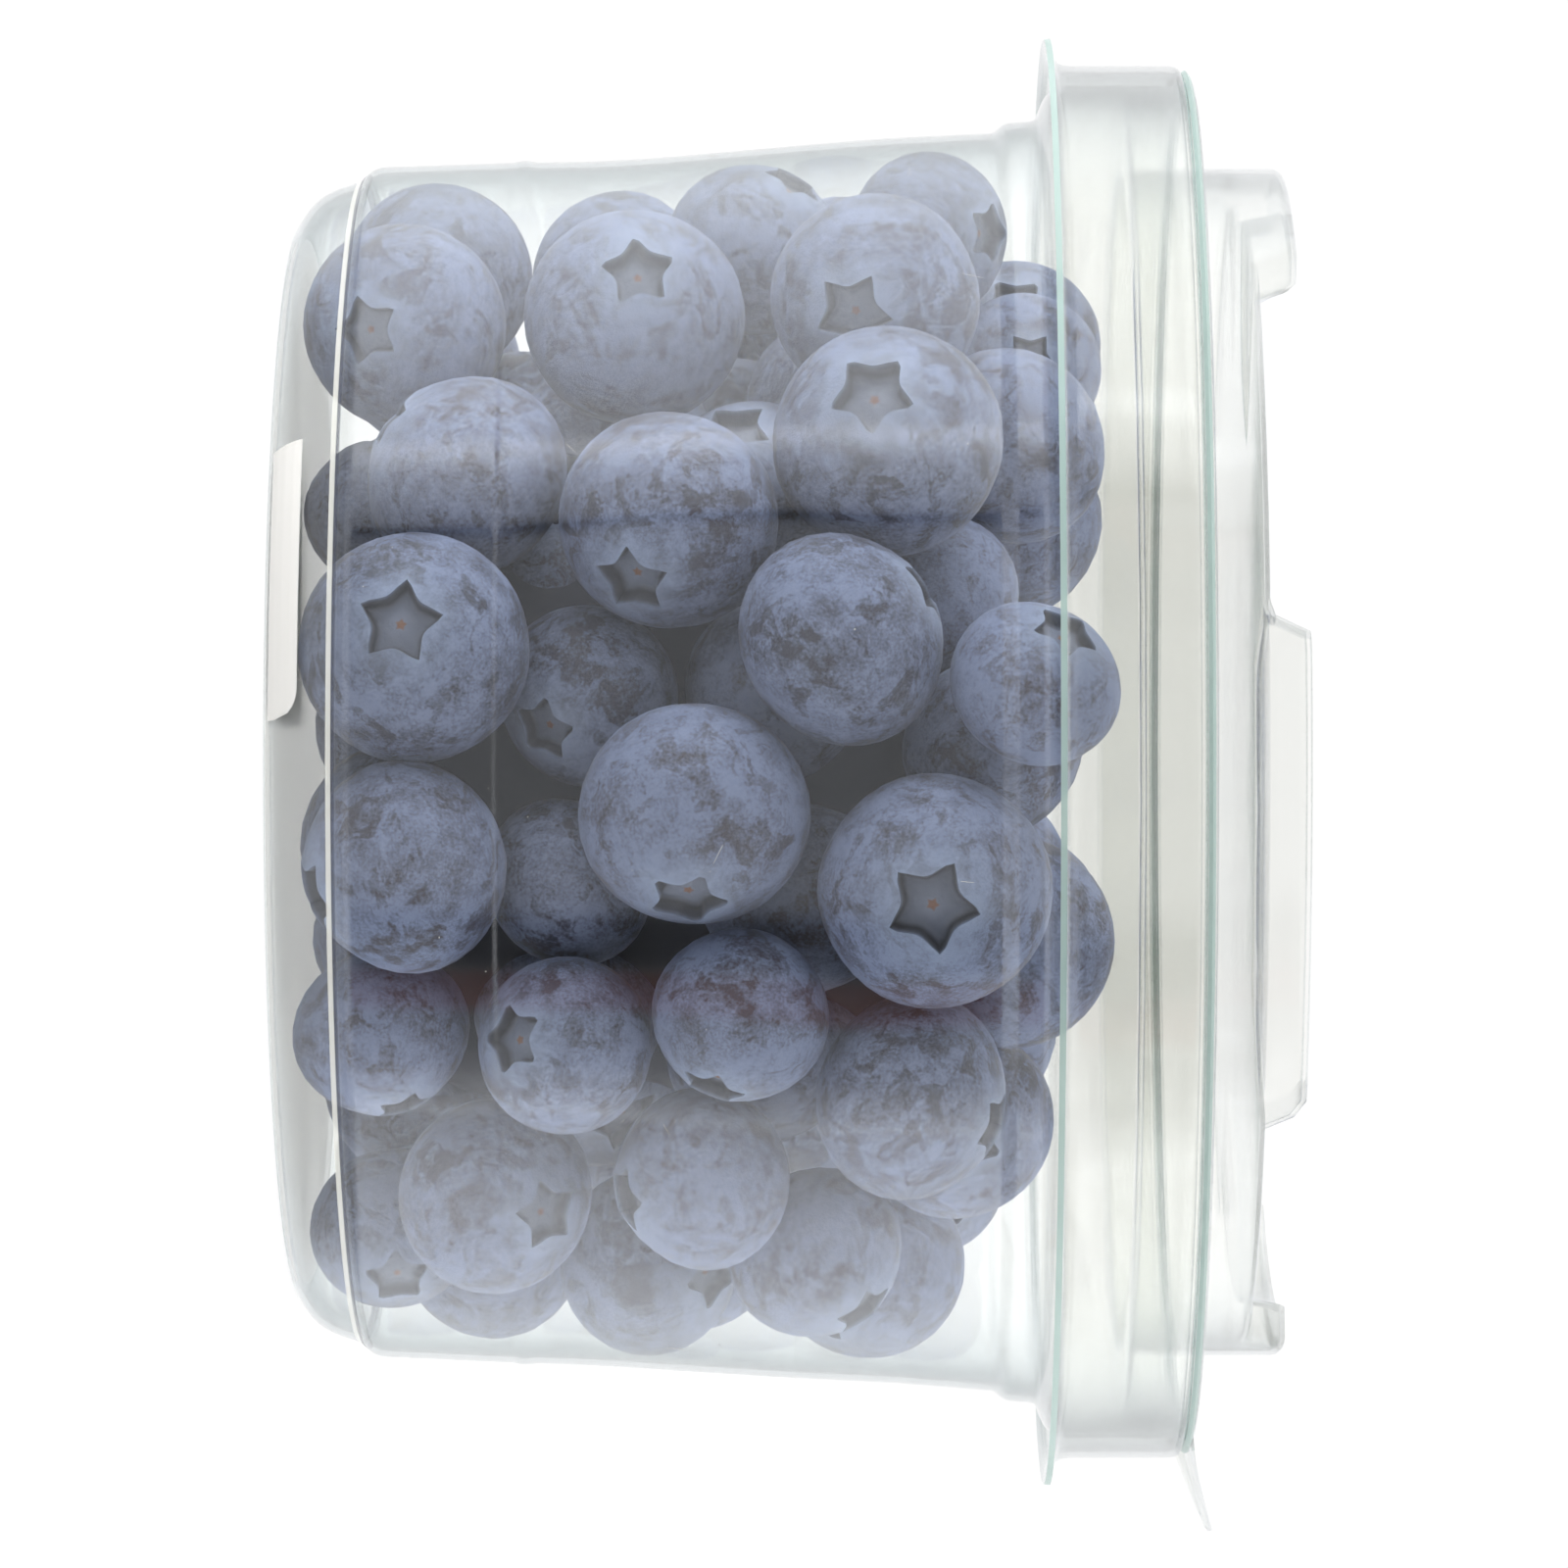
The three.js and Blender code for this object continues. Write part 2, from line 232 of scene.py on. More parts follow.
def makeCamera():
    data = bpy.data.cameras.new("camera")
    data.sensor_width = camera["sensor"]
    data.lens = camera["sensor"] * camera["focalPixels"] / camera["pictureSide"]
    half = camera["pictureSide"] / 2
    data.shift_x = (half - camera["axisAt"][0]) / camera["pictureSide"]
    data.shift_y = (camera["axisAt"][1] - half) / camera["pictureSide"]
    data.clip_start, data.clip_end = 0.01, 50
    seen = bpy.data.objects.new("camera", data)
    # The picture's right is the tub's up, and the picture's up is the tub's left
    seen.matrix_world = Matrix((
        (0, -1, 0, 0),
        (0, 0, -1, -camera["distance"] * mm),
        (1, 0, 0, camera["height"] * mm),
        (0, 0, 0, 1),
    ))
    bpy.context.scene.collection.objects.link(seen)
    bpy.context.scene.camera = seen


studio = {
    "brightest": 3.4,
    # turn round the tub, and how bright the studio is there: two soft boxes at the sides, dark between
    "ring": [
        (-180, 1.02), (-172, 1.02), (-165, 0.95), (-150, 0.85), (-120, 2.0), (-95, 2.4), (-78, 2.2),
        (-63.6, 2.1), (-62.8, 3.3), (-60, 2.7), (-56.5, 1.6), (-50, 1.0), (-45.6, 0.6), (-45.2, 0.02),
        (-43.9, 0.02), (-43.4, 0.6), (4, 0.6), (21, 0.66), (26, 0.45), (30, 0.02), (37.5, 0.02),
        (39.5, 0.24), (50, 0.5), (59, 0.75), (68, 1.9), (70.8, 2.6), (71.4, 2.0), (95, 2.4), (120, 1.9),
        (150, 0.85), (165, 0.95), (172, 1.02),
    ],
    "warm": (38, 41, 46, 49.5),  # turns between which the gap is reddish
    "warmTint": (1.0, 0.52, 0.45),
    # brightness overhead, low down and straight below, and how steeply up or down each sets in
    "above": (1.0, 0.3, 0.6),
    "below": (1.1, 0.3, 0.5),
    "under": (1.0, 0.86, 0.93),
    "tableColour": (0.12, 0.12, 0.12),
    "tableGlow": 0.94,
    # turn, distance, height and power of the soft lamps beside the tub
    "lamps": [(-80, 520, 90, 2.7), (105, 520, 60, 1.3)],
    "lampSide": 420,
    "lampAim": 35,
}


def makeLight():
    world = bpy.data.worlds.new("studio")
    bpy.context.scene.world = world
    shader = Shader(world)
    way = shader.node("ShaderNodeTexCoord", out="Generated")
    split = shader.node("ShaderNodeSeparateXYZ", None, way)
    x, y, z = split, shader.other(split, "Y"), shader.other(split, "Z")
    turn = x.maths("ARCTAN2", 0.0 - y) * (180 / math.pi)
    brightest = studio["brightest"]
    stops = [((at + 180) / 360, (level / brightest,) * 3) for at, level in studio["ring"]]
    ring = shader.node("ShaderNodeValToRGB", {"stops": stops}, (turn + 180) / 360)
    start, full, thins, ends = studio["warm"]
    warm = shader.step(turn, start, full) * (1.0 - shader.step(turn, thins, ends))
    ring = shader.mix(warm, ring, shader.mix(1.0, ring, studio["warmTint"], "MULTIPLY"))
    around = ring
    for zone, height in (("above", z), ("below", 0.0 - z), ("under", 0.0 - z)):
        level, low, high = studio[zone]
        around = shader.mix(shader.step(height, low, high), around, (level / brightest,) * 3)
    shader.output("ShaderNodeOutputWorld", shader.node(
        "ShaderNodeBackground", None, Color=around, Strength=brightest,
    ))


# The lamps light the fruit, and the plastic's gloss doesn't mirror them
def makeLamps():
    for number, (turn, distance, height, power) in enumerate(studio["lamps"]):
        data = bpy.data.lights.new(f"lamp{number}", "AREA")
        data.size, data.energy = studio["lampSide"] * mm, power
        angle = math.radians(turn)
        spot = Vector((math.sin(angle) * distance, -math.cos(angle) * distance, height)) * mm
        aim = Vector((0, 0, studio["lampAim"] * mm)) - spot
        lamp = bpy.data.objects.new(f"lamp{number}", data)
        lamp.location, lamp.rotation_euler = spot, aim.to_track_quat("-Z", "Y").to_euler()
        lamp.visible_glossy = lamp.visible_camera = False
        bpy.context.scene.collection.objects.link(lamp)


# A light table, which the gloss of the tub doesn't mirror
def makeTable():
    material = bpy.data.materials.new("lightTable")
    shader = Shader(material)
    grain = shader.cloud(shader.place(), 40.0)
    tone = shader.mix(grain * 0.1, studio["tableColour"], (0.1, 0.1, 0.1))
    shader.output("ShaderNodeOutputMaterial", shader.node(
        "ShaderNodeBsdfPrincipled", None, Base_Color=tone, Roughness=0.9, Specular_IOR_Level=0.0,
        Emission_Color=(1.0, 1.0, 1.0, 1.0), Emission_Strength=studio["tableGlow"],
    ))
    bm = bmesh.new()
    bmesh.ops.create_grid(bm, x_segments=8, y_segments=8, size=6)
    floor = finished("floor", bm, [material])
    floor.visible_glossy = False


# Clear plastic

plastic = {
    "mirror": 0.05,
    "rimMirror": 0.025,
    "haze": 0.004,
    "clear": (0.979, 0.983, 0.977),
    "mirrored": (0.92, 0.94, 1.0),
    "slanted": (0.79, 0.83, 0.81),
    "rimClear": (0.972, 0.973, 0.965),
    "rimSlanted": (0.86, 0.875, 0.85),
    "edge": (0.31, 0.43, 0.4),
    "frost": 0.45,
    "frosted": (0.94, 0.94, 0.92),
}


# Clear formed sheet, which mirrors more and lets less through at a slant
def sheetShader(shader, mirrored, clearColour, slantedColour):
    drawn = shader.node("ShaderNodeVectorMath", {"operation": "MULTIPLY"}, shader.place(), (1.0, 1.0, 0.25))
    slant = shader.node("ShaderNodeLayerWeight", None, Blend=0.5, out="Facing")
    share = (mirrored + slant ** 5 * (1 - mirrored)).least(1.0)
    straight = shader.node("ShaderNodeBsdfTransparent", None, Color=(*clearColour, 1.0))
    slanted = shader.node("ShaderNodeBsdfTransparent", None, Color=(*slantedColour, 1.0))
    clear = shader.node("ShaderNodeMixShader", None, slant ** 3, straight, slanted)
    mirror = shader.node(
        "ShaderNodeBsdfPrincipled", None, Base_Color=(*plastic["mirrored"], 1.0), Metallic=1.0,
        Roughness=0.025 + shader.cloud(drawn, 140.0, 0.0) * 0.05,
    )
    return shader.node("ShaderNodeMixShader", None, share, clear, mirror)


def clearSheet(name, mirrored, clearColour, slantedColour):
    material = bpy.data.materials.new(name)
    shader = Shader(material)
    sheet = sheetShader(shader, mirrored, clearColour, slantedColour)
    dust = shader.node(
        "ShaderNodeBsdfPrincipled", None, Base_Color=(0.9, 0.92, 0.91, 1.0), Roughness=0.6,
    )
    shader.output("ShaderNodeOutputMaterial", shader.node(
        "ShaderNodeMixShader", None, plastic["haze"], sheet, dust,
    ))
    return material


# The sheet where it is seen edgeways, with a colour of its own; the foot's two lines use it for a painted
# highlight and a painted dark refraction line
def tintedSheet(name, colour, share):
    material = bpy.data.materials.new(name)
    shader = Shader(material)
    cloud = shader.cloud(shader.place(), 300.0, 1.0)
    tone = shader.mix(cloud * 0.5, colour, tuple(min(1, v * 1.3) for v in colour))
    solid = shader.node(
        "ShaderNodeBsdfPrincipled", None, Base_Color=tone, Roughness=0.3,
    )
    sheet = sheetShader(shader, plastic["mirror"], plastic["clear"], plastic["slanted"])
    mixed = shader.node("ShaderNodeMixShader", None, share, sheet, solid)
    shader.output("ShaderNodeOutputMaterial", mixed)
    return material


# The base, which is frosted and mirrors nothing
def frostedSheet():
    material = bpy.data.materials.new("frostedBase")
    shader = Shader(material)
    tone = shader.mix(shader.cloud(shader.place(), 400.0, 1.0) * 0.4, plastic["frosted"], (0.8, 0.8, 0.77))
    clear = shader.node("ShaderNodeBsdfTransparent", None, Color=(*plastic["frosted"], 1.0))
    solid = shader.node(
        "ShaderNodeBsdfPrincipled", None, Base_Color=tone, Roughness=0.5, Specular_IOR_Level=0.1,
        Subsurface_Weight=1.0, Subsurface_Radius=(1.0, 1.0, 1.0), Subsurface_Scale=0.002,
    )
    shader.output("ShaderNodeOutputMaterial", shader.node(
        "ShaderNodeMixShader", None, plastic["frost"], clear, solid,
    ))
    return material


# The tub

tub = {
    "sheet": 0.5,
    "steps": 192,
    "floorLift": 0.25,
    "plugRadius": 55.3,
    # radius, height and reach of the rounding at each corner of the section's middle line
    "section": [
        (0, 0.5, 0), (43.2, 0.5, 0.4), (43.8, 0.25, 0.2), (44.5, 0.25, 0.3), (47.1, 1.9, 3.2),
        (48.25, 5.4, 0.4), (49.35, 6.5, 0.7), (49.85, 18.0, 0.3), (49.99, 18.5, 0.25), (49.99, 19.1, 0.25),
        (49.88, 19.6, 0.3), (50.05, 26, 5), (51.35, 44.7, 5), (52.2, 57.8, 0.35), (53.0, 58.7, 0.35),
        (53.2, 61.3, 0.6), (55.4, 62.2, 0.5), (56.1, 63.1, 0.5), (56.1, 73.0, 0.75), (57.75, 73.0, 0.75),
        (57.75, 62.5, 1.6), (60.2, 62.1, 0),
    ],
    "edgeRadius": 60.02,
    "bendHeight": 72.95,
    "rimHeight": 61.5,
    # heights, colour and strength of the two thin lines round the foot's shoulder: a painted highlight and
    # a painted dark refraction line
    "footHighlightShadeLines": [
        (5.1, 5.45, (0.86, 0.86, 0.78), 0.5),
        (5.45, 5.72, (0.04, 0.05, 0.09), 0.45),
    ],
    "frostHeight": 1.0,
    "frostRadius": 43.5,
    "waves": 0.09,
    "waveHeights": (7, 14, 50, 57),
    # share, count round the tub, slope up the wall and shift of each wave
    "waveTerms": [(1, 3, 0.11, 0), (0.6, 5, -0.07, 1), (0.4, 9, 0.19, 0)],
    "wallFrom": 45,
}


# The wall's own unevenness, which bends the reflections a little
def tubWaves(point):
    turn = math.radians(turnOf(point))
    z = point.z / mm
    start, full, thins, ends = tub["waveHeights"]
    share = between(z, start, full) * (1 - between(z, thins, ends))
    wave = 0
    for size, count, slope, shift in tub["waveTerms"]:
        wave += size * math.sin(count * turn + slope * z + shift)
    return share * tub["waves"] * wave


def makeTub(sheet, rim, edge):
    bm = spun(sheetOutline(softened(tub["section"]), tub["sheet"]), tub["steps"])
    for vert in bm.verts:
        out = math.hypot(vert.co.x, vert.co.y)
        if out > tub["wallFrom"] * mm:
            grown = 1 + tubWaves(vert.co) * mm / out
            vert.co.x *= grown
            vert.co.y *= grown
    for face in bm.faces:
        centre = face.calc_center_median() / mm
        out = math.hypot(centre.x, centre.y)
        if out > tub["edgeRadius"]:
            face.material_index = 1
        elif centre.z > tub["bendHeight"]:
            face.material_index = 2
        elif centre.z < tub["frostHeight"] and out < tub["frostRadius"]:
            face.material_index = 3
        elif centre.z > tub["rimHeight"]:
            face.material_index = 4
        # faces on the foot's shoulder get the painted highlight line and the painted dark refraction line
        for line, (low, high, colour, share) in enumerate(tub["footHighlightShadeLines"]):
            if low < centre.z < high:
                face.material_index = 5 + line
    bend = tintedSheet("tightBend", plastic["edge"], 0.3)
    # sheets that paint the foot's highlight line and its dark refraction line
    lines = [tintedSheet(f"footHighlightShadeLine{line}", *look[2:]) for line, look in enumerate(tub["footHighlightShadeLines"])]
    piece = finished("tubShell", bm, [sheet, edge, bend, frostedSheet(), rim, *lines])
    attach(piece, "root")
    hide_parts("tub")


# The lid

lid = {
    "sheet": 0.4,
    "steps": 240,
    "section": [
        (0, 78.3, 0), (30, 78.3, 0), (44.9, 78.3, 0), (45.1, 78.3, 0), (45.3, 78.3, 0), (45.5, 78.3, 0),
        (45.7, 78.3, 0), (45.9, 78.3, 0), (46.2, 78.3, 0), (47.2, 78.3, 0),
        (49.3, 78.3, 0.9), (49.3, 68.35, 0.6), (55.3, 68.35, 0.6), (55.3, 73.75, 0.6), (56.9, 73.87, 0.6),
        (57.5, 73.4, 0),
    ],
    "lugCount": 4,
    "lugTurn": 11,
    "lugSpan": 50,
    "lugRise": 3.2,
    "lugInner": (45.0, 45.9),
    "lugEnd": 2.2,  # degrees over which an end slopes
    "plateauFrom": 76.9,
    "tabRoot": 56.8,
    "tabHeight": 73.88,
    "tabReach": 63.8,
    "tabHalf": 9,
    "tabFlare": 9,  # how much wider each side is at the root
    "tabCorner": 3.5,
    "tabRise": 2.0,
    "tabSkirt": (1.85, 0.25),  # how far the tab's sides turn down at its root and its tip
    "tabWing": 0.84,  # share of the half width from which they turn down
    "edgeRadius": 57.46,
}


# How far the sheet is drawn up into a stacking lug at a point of the plateau
def lugRise(point):
    z = point.z / mm
    if z < lid["plateauFrom"]:
        return 0
    out = math.hypot(point.x, point.y) / mm
    spacing = 360 / lid["lugCount"]
    away = (turnOf(point) - lid["lugTurn"] + spacing / 2) % spacing - spacing / 2
    ends = 1 - between(abs(away), lid["lugSpan"] / 2 - lid["lugEnd"], lid["lugSpan"] / 2)
    return lid["lugRise"] * ends * between(out, *lid["lugInner"])


# The pull tab, a thin strip from the lid's edge that curves up to its tip
def addTab(bm):
    root = lid["tabRoot"]
    made = bmesh.ops.create_grid(bm, x_segments=22, y_segments=24, size=1)["verts"]
    for vert in made:
        along, side = (vert.co.x + 1) / 2, vert.co.y
        half = lid["tabHalf"]
        reach = lid["tabReach"] - root
        corner = 1 - lid["tabCorner"] / reach
        past = max(0, (along - corner) / (1 - corner))
        width = half - lid["tabCorner"] * (1 - math.sqrt(max(0, 1 - past * past)))
        width += lid["tabFlare"] * (1 - along) ** 3
        y = side * width
        x = math.sqrt(root * root - y * y) * (1 - along) + lid["tabReach"] * along
        rootSkirt, tipSkirt = lid["tabSkirt"]
        skirt = tipSkirt + (rootSkirt - tipSkirt) * (1 - along) ** 1.9
        skirt *= between(abs(side), lid["tabWing"], 1.0)
        z = lid["tabHeight"] + lid["tabRise"] * along ** 1.1 - skirt
        vert.co = Vector((x, y, z)) * mm
    faces = list({face for vert in made for face in vert.link_faces})
    bmesh.ops.recalc_face_normals(bm, faces=faces)
    bmesh.ops.solidify(bm, geom=faces + made, thickness=lid["sheet"] * mm)


def makeLid(sheet, edge):
    bm = spun(sheetOutline(softened(lid["section"]), lid["sheet"]), lid["steps"])
    for vert in bm.verts:
        vert.co.z += lugRise(vert.co) * mm
    for face in bm.faces:
        centre = face.calc_center_median()
        if math.hypot(centre.x, centre.y) > lid["edgeRadius"] * mm:
            face.material_index = 1
    addTab(bm)
    piece = finished("lidShell", bm, [sheet, edge])
    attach(piece, "root")
    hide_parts("lid")


# The label

label = {
    "paper": (0.95, 0.94, 0.91),
    "endPaper": (0.77, 0.76, 0.735),
    "band": (0.42, 0.4, 0.55),
    "bandTop": 0.32,
    "endTurns": (-32.0, -4.0),
    "endTop": 2.85,
    "endLow": 0.55,
    "endSheet": 0.12,
    "endCorner": 0.1,  # share of the end's width
    "gap": 0.04,
}


def labelPaper(name, banded):
    material = bpy.data.materials.new(name)
    shader = Shader(material)
    place = shader.place()
    fibre = shader.cloud(place, 900.0, 3.0)
    tone = shader.mix(fibre * 0.15, label["endPaper" if banded else "paper"], (0.78, 0.77, 0.74))
    if banded:
        height = shader.other(shader.node("ShaderNodeSeparateXYZ", None, place), "Z")
        low = 1.0 - shader.step(height, (label["bandTop"] - 0.05) * mm, (label["bandTop"] + 0.05) * mm)
        tone = shader.mix(low, tone, label["band"])
    bump = shader.node("ShaderNodeBump", None, Strength=0.15, Distance=0.0001, Height=fibre)
    shader.output("ShaderNodeOutputMaterial", shader.node(
        "ShaderNodeBsdfPrincipled", None, Base_Color=tone, Roughness=0.6, Normal=bump,
        Subsurface_Weight=0.0 if banded else 1.0, Subsurface_Radius=(1.0, 1.0, 1.0), Subsurface_Scale=0.002,
    ))
    return material


def dressLabel():
    paper = labelPaper("labelPaper", False)
    for slot in bpy.data.objects["label"].material_slots:
        slot.material = paper


# The label's end, folded up over the tub's bottom corner
def makeLabelEnd():
    away = tub["sheet"] / 2 + label["gap"] + label["endSheet"]
    corner = [point for point in softened(tub["section"]) if 44.6 < point.x < 48]
    face = []
    for before, after in zip(corner, corner[1:]):
        along = (after - before).normalized()
        face.append((before + after) / 2 + Vector((along.y, -along.x)) * away)
    bm = bmesh.new()
    made = bmesh.ops.create_grid(bm, x_segments=48, y_segments=16, size=1)["verts"]
    first, last = label["endTurns"]
    for vert in made:
        across, up = (vert.co.x + 1) / 2, (vert.co.y + 1) / 2
        past = max(0, (across - 1 + label["endCorner"]) / label["endCorner"])
        drop = (label["endTop"] - label["endLow"]) * 0.8 * (1 - math.sqrt(max(0, 1 - past * past)))
        height = label["endLow"] + (label["endTop"] - drop - label["endLow"]) * up
        radius = face[-1].x
        for low, high in zip(face, face[1:]):
            if low.y <= height <= high.y:
                radius = low.x + (high.x - low.x) * (height - low.y) / (high.y - low.y)
                break
        turn = math.radians(first + (last - first) * across)
        vert.co = Vector((math.sin(turn) * radius, -math.cos(turn) * radius, height)) * mm
    bmesh.ops.recalc_face_normals(bm, faces=bm.faces)
    bmesh.ops.solidify(bm, geom=list(bm.faces) + made, thickness=label["endSheet"] * mm)
    piece = finished("labelEnd", bm, [labelPaper("labelEndPaper", True)])
    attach(piece, "root")


# The fruit: those that show at the front are placed as listed, and the rest fall in beside them

heap = {
    "count": 132,  # before the most crowded ones are left out
    "smallest": 13,
    "largest": 18,
    "gap": 0.35,
    "fillHeight": 67.3,
    "fillSlope": 0.42,
    "slopeStart": 18,
    "passes": 600,
    "sinkPasses": 300,
    "fastestSink": 0.32,
    "sideDrift": 0.08,
    "homePull": 0.1,
    "placedGive": 0.15,
    "mostSqueeze": 0.8,
    "thinFrom": 200,
    "thinTo": 540,
    "thinEvery": 8,
    "startHeights": 74,
    "startRadius": 41,
    "seed": 4217,
}

# turn, height, width, depth behind the wall, and how far right and up the crown lies
shownBerries = [
    (-12, 12.5, 18.6, 0, (-0.23, -0.08)),
    (11, 10.5, 17.2, 3, (0.3, -0.9)),
    (5, 34.3, 18.6, 0, (0.8, -0.05)),
    (14, 52.5, 18.8, 0, (0.13, -0.04)),
    (-12, 46, 17.6, 0, (-0.5, 0.86)),
    (-63, 28.3, 18.2, 0, (-0.4, 0.06)),
    (-37, 48.7, 18.8, 0, (-0.4, -0.15)),
    (-63, 47.9, 17.4, 0, (0.2, -0.24)),
    (-28, 31.4, 17.8, 1, (0.6, -0.33)),
    (-58, 10, 17, 0, (0.1, -0.35)),
    (-37, 13.3, 17, 4, (-0.6, -0.8)),
    (-95, 11.5, 16.5, 0, (0, -0.3)),
    (-100, 27, 15, 0, (0.5, 0.8)),
    (-90, 36.6, 15, 0, (-0.8, 0.5)),
    (-90, 52.2, 14.5, 0, (0, 0.8)),
    (32, 23.8, 14.4, 0, (-0.11, -0.63)),
    (27, 37.1, 14.4, 0, (0.86, -0.33)),
    (29, 9, 14.5, 4, (0.9, 0.3)),
    (59, 17.1, 16.4, 0, (0.16, 0.6)),
    (52, 34.1, 15, 0, (0.2, -0.9)),
    (38, 50, 17, 0, (0.3, 0.9)),
    (85, 29, 16, 0, (0.1, 0.78)),
    (68, 43, 15, 0, (0.7, 0.6)),
    (97, 47, 17, 0, (0.5, -0.5)),
    (95, 15, 16, 0, (-0.3, 0.6)),
    (80, 8.5, 14, 2, (0.6, 0.1)),
    (-9, 60, 14, 3, (-0.7, 0.4)),
    (-10, 25, 15, 11, (0.4, -0.5)),
]

drawState = [heap["seed"]]


def draw(low=0.0, high=1.0):
    drawState[0] = (drawState[0] * 16807) % 2147483647
    return low + (high - low) * drawState[0] / 2147483647


class Berry:
    def __init__(self, place, radius, crown, home=None):
        self.place, self.radius, self.crown, self.home = place, radius, crown, home
        self.give = heap["placedGive"] if home else 1


def micron(length):
    return math.floor(length * 1000 + 0.5) / 1000


def bend(start, middle, end, share):
    rest = 1 - share
    shares = rest * rest, 2 * rest * share, share * share
    return [shares[0] * start[k] + shares[1] * middle[k] + shares[2] * end[k] for k in range(2)]


# The tub's inner face as closely spaced points, from the floor's edge up
def innerWall():
    corner = (44.5, 0.25), (47.1, 1.9), (48.25, 5.4)
    section = [
        (43.2, 0.5), (43.8, 0.25), corner[0], bend(*corner, 0.35), bend(*corner, 0.7), corner[2],
        (49.35, 6.5), (50.05, 26), (51.35, 44.7), (52.2, 57.8), (53.0, 58.7), (53.2, 61.3),
        (55.4, 62.2), (56.1, 63.1), (56.1, 72.3),
    ]
    points = []
    for (lowRadius, lowHeight), (radius, height) in zip(section, section[1:]):
        steps = max(1, math.ceil((height - lowHeight) / 1.5))
        for k in range(steps):
            share = k / steps
            inner = lowRadius + (radius - lowRadius) * share - tub["sheet"] / 2
            points.append((micron(inner), micron(lowHeight + (height - lowHeight) * share)))
    return points


def reachAt(wall, height, radius):
    room = radius + heap["gap"]
    reach = tub["plugRadius"] - room
    for wallRadius, wallHeight in wall:
        away = abs(wallHeight - height)
        if away < room:
            reach = min(reach, wallRadius - math.sqrt(room * room - away * away))
    return reach


def firstBerries(wall):
    floorTop = tub["floorLift"] + tub["sheet"]
    berries = []
    for turn, height, across, deep, crown in shownBerries:
        out = reachAt(wall, height, across / 2) - deep
        angle = math.radians(turn)
        place = [micron(v) for v in (out * math.sin(angle), -out * math.cos(angle), height)]
        facing = math.sqrt(max(0.02, 1 - crown[0] ** 2 - crown[1] ** 2))
        berries.append(Berry(place, across / 2, (crown[0], -facing, crown[1]), list(place)))
    while len(berries) < heap["count"]:
        radius = draw(heap["smallest"], heap["largest"]) / 2
        out = heap["startRadius"] * math.sqrt(draw())
        angle = draw(0, 2 * math.pi)
        height = floorTop + radius + draw(0, heap["startHeights"])
        lean = draw(-1, 1)
        around = draw(0, 2 * math.pi)
        level = math.sqrt(1 - lean * lean)
        crown = (level * math.sin(around), -level * math.cos(around), lean)
        place = [micron(v) for v in (out * math.sin(angle), -out * math.cos(angle), height)]
        berries.append(Berry(place, radius, crown))
    return berries


def apart(first, second):
    x, y, z = (q - p for p, q in zip(first.place, second.place))
    return math.sqrt(x * x + y * y + z * z)


def squeeze(berry, berries):
    return max(berry.radius + other.radius - apart(berry, other) for other in berries if other is not berry)


def withoutMostCrowded(berries):
    worst = max((berry for berry in berries if not berry.home), key=lambda berry: squeeze(berry, berries))
    if squeeze(worst, berries) <= heap["mostSqueeze"]:
        return berries
    return [berry for berry in berries if berry is not worst]


def keepInside(berry, wall):
    place, radius = berry.place, berry.radius
    lowest = tub["floorLift"] + tub["sheet"] + radius + heap["gap"]
    top = heap["fillHeight"] - heap["fillSlope"] * max(0, place[0] - heap["slopeStart"])
    place[2] = min(max(place[2], lowest), top - radius)
    out = math.sqrt(place[0] * place[0] + place[1] * place[1])
    reach = reachAt(wall, place[2], radius)
    if out > reach:
        place[0] *= reach / out
        place[1] *= reach / out


def pushApart(first, second):
    p, q = first.place, second.place
    need = first.radius + second.radius
    x, y, z = q[0] - p[0], q[1] - p[1], q[2] - p[2]
    if abs(x) >= need or abs(z) >= need:
        return
    gap = math.sqrt(x * x + y * y + z * z)
    if gap >= need:
        return
    step = (need - gap) / gap / (first.give + second.give)
    for k, way in enumerate((x, y, z)):
        p[k] -= way * step * first.give
        q[k] += way * step * second.give


# The fruit sinks, a little more to the low side, while neighbours push each other apart
def settledBerries():
    wall = innerWall()
    berries = firstBerries(wall)
    for turn in range(heap["passes"]):
        if heap["thinFrom"] < turn < heap["thinTo"] and turn % heap["thinEvery"] == 0:
            berries = withoutMostCrowded(berries)
        sink = heap["fastestSink"] * max(0, 1 - turn / heap["sinkPasses"])
        for berry in berries:
            if berry.home:
                for k in range(3):
                    berry.place[k] += heap["homePull"] * (berry.home[k] - berry.place[k])
            else:
                berry.place[2] -= sink
                berry.place[0] -= sink * heap["sideDrift"]
        for i, first in enumerate(berries):
            for second in berries[i + 1:]:
                pushApart(first, second)
        for berry in berries:
            keepInside(berry, wall)
    return berries


fruit = {
    "around": 40,
    "flatness": (0.86, 0.95),
    "starTip": (0.34, 0.42),
    "starPoints": 5,
    "starDip": 0.62,  # of the tip's reach, between two points
    "depth": (0.13, 0.19),
    "lumps": 0.02,
}

# From the crown's middle out: share of the way to the star's outline, rise over the skin,
# floor mark and lip mark. The floor mark is 2 on the scar, 1 on the floor, 0.5 on the sunken
# wall, where dark shade is painted, and 0 on the skin.
crownRings = [
    (0.28, -0.86, 1.0, 0), (0.58, -0.97, 1, 0), (0.78, -1.0, 0.85, 0), (0.93, -0.75, 0.5, 0),
    (0.985, -0.1, 0.4, 0.6), (1.03, 0.3, 0, 1), (1.13, 0.24, 0, 0.8), (1.42, 0.1, 0, 0.2),
]
skinRings = 12


def starReach(around, tip, turned):
    # The wave is 1 at a point of the star and 0 between two
    wave = abs(((around + turned) / (2 * math.pi) * fruit["starPoints"]) % 1 * 2 - 1)
    return tip * (fruit["starDip"] + (1 - fruit["starDip"]) * wave ** 2)


